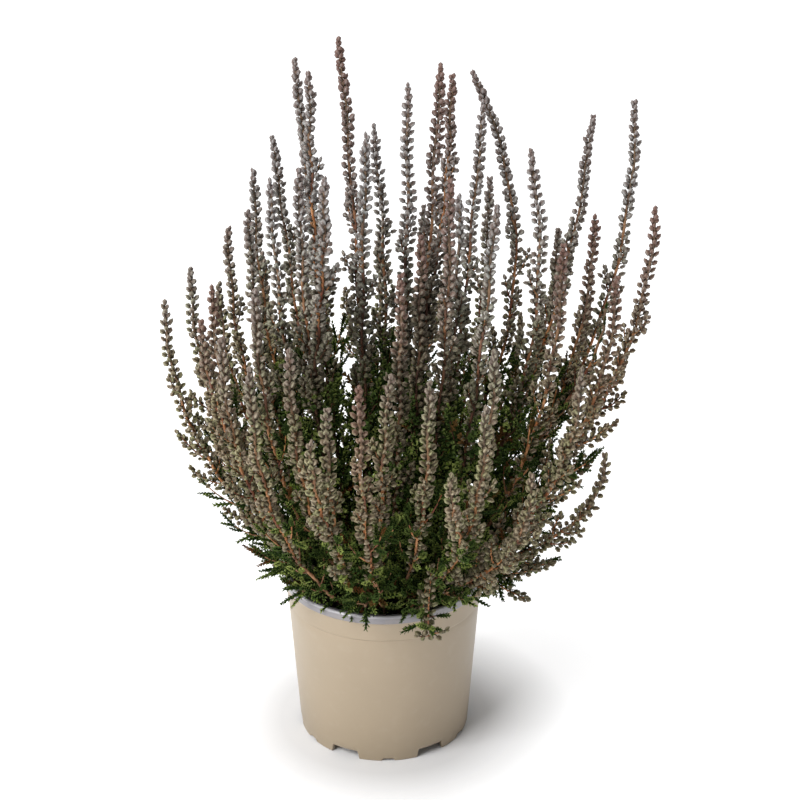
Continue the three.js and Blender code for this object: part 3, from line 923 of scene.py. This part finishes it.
def side_twig(path, share, turn, length, lift, ahead, redness, budded, outer_growth):
    """A twig that leaves a stem at a share of its length, or None where it has no room. It heads
    ahead along the stem by a share, lift turns it up, and outer growth lengthens it outwards."""
    heading = path.heading(share)
    start = path.at(share)
    side = np.cross(heading, [math.cos(turn), math.sin(turn), 0.3])
    side = side / np.linalg.norm(side) + np.array([0, 0, lift])
    side /= np.linalg.norm(side)
    outward = side[:2] @ start[:2] / max(math.hypot(start[0], start[1]), 1)
    if not budded or outer_growth > 0:
        length *= 1 + outer_growth * max(outward, 0)
    middle = start + (heading * ahead + side * (1.4 - ahead)) * length * 0.5
    end = middle + (heading * (ahead + 0.2) + side * (1 - ahead) + np.array([0, 0, 0.2])) * length * 0.5
    if end[2] < POT_HEIGHT + 5 and RIM_RADIUS - 12 < math.hypot(end[0], end[1]) < RIM_RADIUS + 4:
        return None
    if (end[:2] < TWIG_LOW[:2]).any() or (end > TWIG_HIGH).any():
        return None
    shares = np.linspace(0, 1, 5)
    bend = Path(start, (start + middle) / 2, middle, end)
    return side_line(bend.at(shares), shares, share, redness, budded)


def next_turn(turn, chance):
    return turn + TWIG_TURN + chance.uniform(-TWIG_TURN_SPREAD, TWIG_TURN_SPREAD)


def side_twigs(path, redness, budded_from, chance, full):
    """Side twigs all round a stem: leafy low down, budded higher up."""
    lower, longer, lift, outer_growth, closeness = FULL_TWIGS if full else ORDINARY_TWIGS
    twigs = []
    turn = chance.uniform(0, 2 * math.pi)
    place = 12 + chance.uniform(0, 6)
    while place < path.length * 0.74:
        share = place / path.length
        budded_above = budded_from + chance.uniform(0.0, 0.25) - lower
        budded = share > budded_above or path.at(share)[2] > LEAFY_BELOW
        if budded:
            length = np.interp(share, [0.3, 0.75], [19, 10]) * chance.uniform(0.7, 1.2) * longer
        else:
            length = np.interp(share, [0.1, 0.4, 0.7], [21, 22, 16]) * chance.uniform(0.8, 1.2)
        twigs.append(side_twig(path, share, turn, length, lift, 0.68, redness, budded, outer_growth))
        step = chance.uniform(12, 18) if budded else chance.uniform(8.5, 12)
        place += step * closeness
        turn = next_turn(turn, chance)
    return [twig for twig in twigs if twig]


def spray_twigs(path, chance, leafy_to, budded_ends):
    """Short leafy twigs along a spray, to both sides and up, and its budded twigs."""
    twigs = []
    turn = chance.uniform(0, 2 * math.pi)
    for share in np.arange(0.25, leafy_to, 0.045):
        twigs.append(side_twig(path, share, turn, chance.uniform(7, 10), 0.6, 0.35, 0.2, False, 0.0))
        turn = next_turn(turn, chance)
    twigs += [budded_twig(path, share, reach) for share, reach in budded_ends]
    return [twig for twig in twigs if twig]


def budded_twig(path, share, reach):
    """A budded twig that turns up from a spray."""
    start = path.at(share)
    across, away, up = reach
    shares = np.linspace(0, 1, 9)
    bend = Path(start, start + np.array([across * 0.4 - 2, away * 0.5 - 1, up * 0.25]),
                start + np.array([across * 0.9 - 1, away, up * 0.6]), start + np.array(reach))
    return side_line(bend.at(shares), shares, 0.6, 0.1, True)


# Pot: a lathed shell whose lower edge rises at the gaps between the feet
def edge_height(angle):
    """How high the pot's lower edge is above the floor at this angle."""
    part = 2 * math.pi / FOOT_COUNT
    from_foot = abs((angle - FOOT_TURN + part / 2) % part - part / 2) * BASE_RADIUS
    from_gap = part / 2 * BASE_RADIUS - from_foot
    gap = GAP_HEIGHT * min(max((GAP_WIDTH / 2 + 0.6 - from_gap) / 1.2, 0), 1)
    notch = NOTCH_HEIGHT * min(max((NOTCH_WIDTH / 2 + 0.5 - from_foot) / 1.0, 0), 1)
    return max(gap, notch)


def wall_radius(height):
    if height > CREASE_HEIGHT:
        share = (height - CREASE_HEIGHT) / (POT_HEIGHT - CREASE_HEIGHT)
        return CREASE_RADIUS + CREASE_STEP + (COLLAR_RADIUS - CREASE_RADIUS - CREASE_STEP) * share
    return BASE_RADIUS + (CREASE_RADIUS - BASE_RADIUS) * height / CREASE_HEIGHT


def corner(centre_radius, centre_height, size, start, end, steps=5):
    """Points round a rounded edge, by angles from straight out."""
    angles = [math.radians(start + (end - start) * step / steps) for step in range(steps + 1)]
    return [(centre_radius + size * math.cos(a), centre_height + size * math.sin(a)) for a in angles]


def pot_profile(angle):
    """The shell's outline from its middle underneath, round the lip and back inside."""
    edge = edge_height(angle)
    lip_foot = POT_HEIGHT - LIP_DEPTH
    lip_inner = RIM_RADIUS - LIP_WIDTH
    lip_centre = POT_HEIGHT - LIP_ROUND
    skirt_inner = BASE_RADIUS - SKIRT_THICKNESS
    outer_heights = (9, 20, 40, 60, 80, CREASE_HEIGHT - 1.2)
    inner_heights = (94, CREASE_HEIGHT, 60, 30, PLATE_TOP + 3)
    return [
        (BOSS_RADIUS - 1, BOSS_FOOT), (BOSS_RADIUS, 0.6), (BOSS_RADIUS + 1, PLATE_HEIGHT - 0.4),
        (BOSS_RADIUS + 2, PLATE_HEIGHT), (30, PLATE_HEIGHT), (skirt_inner - 1, PLATE_HEIGHT),
        (skirt_inner, PLATE_HEIGHT - 0.2), (skirt_inner + 0.1, edge + 0.3), (skirt_inner + 0.5, edge),
        (BASE_RADIUS - 0.5, edge), (BASE_RADIUS - 0.05, edge + 0.35), (wall_radius(edge + 1.2), edge + 1.2),
        *[(wall_radius(height), height) for height in outer_heights],
        (CREASE_RADIUS - 0.28, CREASE_HEIGHT - 0.4), (CREASE_RADIUS - 0.22, CREASE_HEIGHT + 0.1),
        (CREASE_RADIUS + CREASE_STEP, CREASE_HEIGHT + 0.8), (wall_radius(93), 93), (wall_radius(97), 97),
        (wall_radius(lip_foot) + 0.02, lip_foot - 0.15), (wall_radius(lip_foot) + 0.25, lip_foot + 0.05),
        *corner(RIM_RADIUS - 0.5, lip_foot + 0.6, 0.5, -90, 0, 3),
        *corner(RIM_RADIUS - LIP_ROUND, lip_centre, LIP_ROUND, 0, 90),
        *corner(lip_inner + LIP_ROUND, lip_centre, LIP_ROUND, 90, 180),
        (lip_inner + 0.1, lip_foot), (lip_inner + 0.6, lip_foot - 1.5),
        *[(wall_radius(height) - WALL_THICKNESS, height) for height in inner_heights],
        (wall_radius(PLATE_TOP) - WALL_THICKNESS - 2, PLATE_TOP), (30, PLATE_TOP), (BOSS_RADIUS, PLATE_TOP),
    ]


def lathed(name, profile_at, segments, bottom, top):
    """A closed shell turned round the upright axis, in metres."""
    vertices = []
    for step in range(segments):
        angle = 2 * math.pi * step / segments
        profile = profile_at(angle)
        vertices += [(r * math.cos(angle) * MM, r * math.sin(angle) * MM, z * MM) for r, z in profile]
    count = len(profile)
    strips = [(step * count, (step + 1) % segments * count) for step in range(segments)]
    faces = [(here + row, after + row, after + row + 1, here + row + 1)
             for here, after in strips for row in range(count - 1)]
    low, high = len(vertices), len(vertices) + 1
    for here, after in strips:
        faces += [(low, after, here), (high, here + count - 1, after + count - 1)]
    return mesh_object(name, vertices + [(0, 0, bottom * MM), (0, 0, top * MM)], faces)


def drain_cutter():
    """One upright prism for each drain hole, half way between two feet."""
    vertices, faces = [], []
    for foot in range(FOOT_COUNT):
        first = len(vertices)
        angle = FOOT_TURN + (foot + 0.5) * 2 * math.pi / FOOT_COUNT
        centre = Vector((*polar(DRAIN_DISTANCE, angle), 0))
        ring = [centre + Vector((*polar(DRAIN_RADIUS, a), 0))
                for a in np.linspace(0, 2 * math.pi, DRAIN_SIDES, endpoint=False)]
        vertices += [Vector((p.x, p.y, z)) * MM for z in (1, 12) for p in ring]
        low, high = range(first, first + DRAIN_SIDES), range(first + DRAIN_SIDES, len(vertices))
        faces += [tuple(reversed(low)), tuple(high)]
        for step in range(DRAIN_SIDES):
            after = (step + 1) % DRAIN_SIDES
            faces.append((low[step], low[after], high[after], high[step]))
    return mesh_object("drain_cutter", vertices, faces)


def make_pot():
    pot = lathed("nursery_pot", pot_profile, POT_SIDES, BOSS_FOOT, PLATE_TOP)
    cutter = drain_cutter()
    cut = pot.modifiers.new("drain holes", "BOOLEAN")
    cut.operation, cut.object, cut.solver = "DIFFERENCE", cutter, "EXACT"
    make_plain([pot])
    bpy.data.objects.remove(cutter)
    pot.data.materials.append(POT_FINISH)
    for face in pot.data.polygons:
        face.use_smooth = True
    pot.data.set_sharp_from_angle(angle=math.radians(40))
    return pot


# Soil: a lumpy top under loose crumbs
def soil_profile(angle):
    bottom = PLATE_TOP + SOIL_GAP
    side = WALL_THICKNESS + SOIL_GAP
    outer = CREASE_RADIUS - side - 2 * SOIL_SLACK
    profile = [(wall_radius(bottom) - side - SOIL_CHAMFER, bottom),
               (wall_radius(bottom) - side - SOIL_SLACK, bottom + SOIL_CHAMFER),
               (CREASE_RADIUS - side - SOIL_SLACK, CREASE_HEIGHT), (outer, SOIL_LEVEL - 1.5)]
    for radius in np.linspace(outer - 0.4, 1.0, SOIL_RINGS):
        x, y = polar(radius, angle)
        rough = noise.fractal(Vector((x, y, 3.0)) * 0.22, 0.9, 2.0, 4) * 1.1
        profile.append((radius, soil_top(x, y) + rough - 0.4))
    return profile


def crumb_shape(number):
    body = bmesh.new()
    bmesh.ops.create_icosphere(body, subdivisions=1, radius=1.0)
    chance = random.Random(number)
    for vertex in body.verts:
        vertex.co *= chance.uniform(0.65, 1.15)
        vertex.co.z *= 0.7
    mesh = bpy.data.meshes.new(f"crumb_{number}")
    body.to_mesh(mesh)
    body.free()
    return place_in_scene(mesh.name, mesh)


def crumbs_tree():
    tree, source, result = new_tree("crumbs on soil", {
        "Crumbs": "Collection", "Density": "Float", "Smallest": "Float", "Largest": "Float",
        "Lowest": "Float", "Seed": "Int", "Finish": "Material"})
    value = source.outputs
    height = height_of(tree, made(tree, "GeometryNodeInputPosition"))
    on_top = calculate(tree, "GREATER_THAN", height, value["Lowest"])
    points = made(tree, "GeometryNodeDistributePointsOnFaces", {
        "Mesh": value["Geometry"], "Selection": on_top, "Density": value["Density"], "Seed": value["Seed"]})
    turn = made(tree, "FunctionNodeRandomValue", {
        0: (0, 0, 0), 1: (6.28, 6.28, 6.28), "Seed": value["Seed"]}, data_type="FLOAT_VECTOR")
    placed = made(tree, "GeometryNodeInstanceOnPoints", {
        "Points": points, "Instance": shapes_of(tree, value["Crumbs"]),
        "Pick Instance": True, "Instance Index": random_choice(tree, 11, 4),
        "Rotation": made(tree, "FunctionNodeEulerToRotation", {0: turn}),
        "Scale": random_number(tree, value["Smallest"], value["Largest"], value["Seed"])})
    both = add_node(tree, "GeometryNodeJoinGeometry")
    tree.links.new(value["Geometry"], both.inputs[0])
    tree.links.new(placed, both.inputs[0])
    end_tree(tree, both.outputs[0], value["Finish"], result)
    return tree


def make_soil():
    soil = lathed("crumbly_soil", soil_profile, SOIL_SIDES, PLATE_TOP + SOIL_GAP, soil_top(0, 0))
    crumbs = pattern_set("crumb shapes", [crumb_shape(number) for number in range(3)])
    grow(soil, crumbs_tree(), {
        "Crumbs": crumbs, "Density": 50000.0, "Smallest": 0.0005, "Largest": 0.0014,
        "Lowest": (SOIL_LEVEL - 3) * MM, "Seed": 11, "Finish": SOIL_FINISH})
    make_plain([soil])
    return soil


# Plant
def plant_lines():
    """The centrelines of every stem and spray, by the name of its CAD node."""
    ends = [(*polar(reach, math.radians(turn)), height) for turn, reach, height, _ in SPRAYS]
    tips = [tip[:2] for tip in STEM_TIPS] + [(x * SPRAY_BUNDLE, y * SPRAY_BUNDLE) for x, y, _ in ends]
    bases = [np.array([x, y, soil_top(x, y) + STEM_RISE]) for x, y in spread_bases(tips)]
    plants = {}
    for number, tip in enumerate(STEM_TIPS, start=1):
        chance = random.Random(100 + number)
        redness = 1.0 if number in RED_STEMS else chance.uniform(0.0, 0.3)
        budded_from = np.interp(tip[2], [BUDDED_LOW_TIP, BUDDED_HIGH_TIP], BUDDED_FROM)
        budded_from += chance.uniform(-0.05, 0.06)
        full = number in FULL_STEMS
        if full:
            budded_from = FULL_STEMS[number] * budded_from + 0.04
        main = stem_path(bases[number - 1], np.array(tip, float), SWAYS.get(number, (0, 0)))
        lines = [main_line(main, redness, budded_from)]
        lines += side_twigs(main, redness, budded_from, chance, full)
        if number in FORK_TIPS:
            second = fork_path(main, np.array(FORK_TIPS[number], float))
            lines.append(main_line(second, redness, FORK_BUDDED_FROM, number == GREEN_TIPPED_STEM))
            lines += side_twigs(second, redness, FORK_BUDDED_FROM, chance, False)
        plants[f"stem_{number:02d}"] = lines
    for number, (spray, end, base) in enumerate(zip(SPRAYS, ends, bases[len(STEM_TIPS):]), start=1):
        chance = random.Random(300 + number)
        main = spray_path(base, np.array(end, float))
        end_gap = spray[-1]
        budded_from, leafy_to = 1.0, 1 - end_gap / main.length
        if number == BUDDED_SPRAY:
            budded_from, leafy_to = BUDDED_SPRAY_FROM, BUDDED_SPRAY_LEAFY_TO
        plants[f"leafy_spray_{number:02d}"] = [
            main_line(main, 0.2, budded_from, end_gap=end_gap),
            *spray_twigs(main, chance, leafy_to, SPRAY_TWIGS.get(number, ()))]
    return plants


def has_any(lines, value):
    return any(np.max(values.get(value, 0.0)) > SMALLEST_ROOM for _, values in lines)


def make_plant():
    """The bark, buds and leaves of each stem, with their CAD nodes and material slots."""
    pieces = []
    for number, (node, lines) in enumerate(plant_lines().items()):
        def piece_of(kind):
            piece = line_object(f"{node}_{kind}", lines)
            pieces.append((piece, node, f"heather_{kind}"))
            return piece

        seed = 20 * number
        grow(piece_of("bark"), BARK_TREE, {"Sides": 5, "Finish": BARK_FINISH})
        if has_any(lines, "bud_room"):
            grow_pairs(
                piece_of("buds"), BUD_TREE, BUD_SPACING, BUDS, 3, (0.35, 0.18, 0.14), seed, BUD_FINISH)
        if has_any(lines, "shoot_room"):
            spacing = SPRAY_SHOOT_SPACING if node.startswith("leafy_spray") else SHOOT_SPACING
            grow_pairs(
                piece_of("leaves"), SHOOT_TREE, spacing, SHOOTS, 4, (0.5, 0.25, 0.2), seed + 7, LEAF_FINISH)
    make_plain([piece for piece, _, _ in pieces])
    return pieces


pot = make_pot()
soil = make_soil()
plant = make_plant()
for patterns in PATTERN_SETS:
    for obj in list(patterns.objects):
        bpy.data.objects.remove(obj)
    bpy.data.collections.remove(patterns)

for piece, node, slot in [(pot, "pot", "pot_plastic"), (soil, "potting_soil", "potting_soil"), *plant]:
    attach(piece, "root")
    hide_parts(node)

# Studio
FLOOR_REACH = 20
floor = mesh_object("floor", [
    (-FLOOR_REACH, -FLOOR_REACH, 0), (FLOOR_REACH, -FLOOR_REACH, 0),
    (FLOOR_REACH, FLOOR_REACH, 0), (-FLOOR_REACH, FLOOR_REACH, 0)], [(0, 1, 2, 3)])
floor.data.materials.append(floor_finish())


def soft_light(name, place, target, width, power):
    lamp = bpy.data.lights.new(name, "AREA")
    lamp.shape = "SQUARE"
    lamp.size = width
    lamp.energy = power
    obj = place_in_scene(name, lamp)
    obj.location = place
    obj.rotation_euler = (Vector(target) - Vector(place)).to_track_quat("-Z", "Y").to_euler()


soft_light("window side light", (-1.5, -1.3, 1.7), (0, 0, 0.2), 1.5, 62)
soft_light("overhead light", (-0.2, 0.9, 3.4), (0, 0.4, 0), 4.0, 104)
soft_light("front fill", (1.2, -1.9, 0.9), (0, 0, 0.2), 1.2, 3)

world = bpy.data.worlds.new("bright studio")
bpy.context.scene.world = world
world.use_nodes = True
background = world.node_tree.nodes["Background"].inputs
background["Color"].default_value = (1, 1, 1, 1)
background["Strength"].default_value = 0.12

# The camera looks down on the plant as the photograph does
CAMERA_TILT = 23.12
camera = place_in_scene("camera", bpy.data.cameras.new("camera"))
camera.location = (0.00969, -0.958, 0.6221)
camera.rotation_euler = (math.radians(90 - CAMERA_TILT), 0, 0)
camera.data.lens = 81
camera.data.sensor_width = 36
bpy.context.scene.camera = camera
bpy.context.scene.view_settings.view_transform = "Standard"
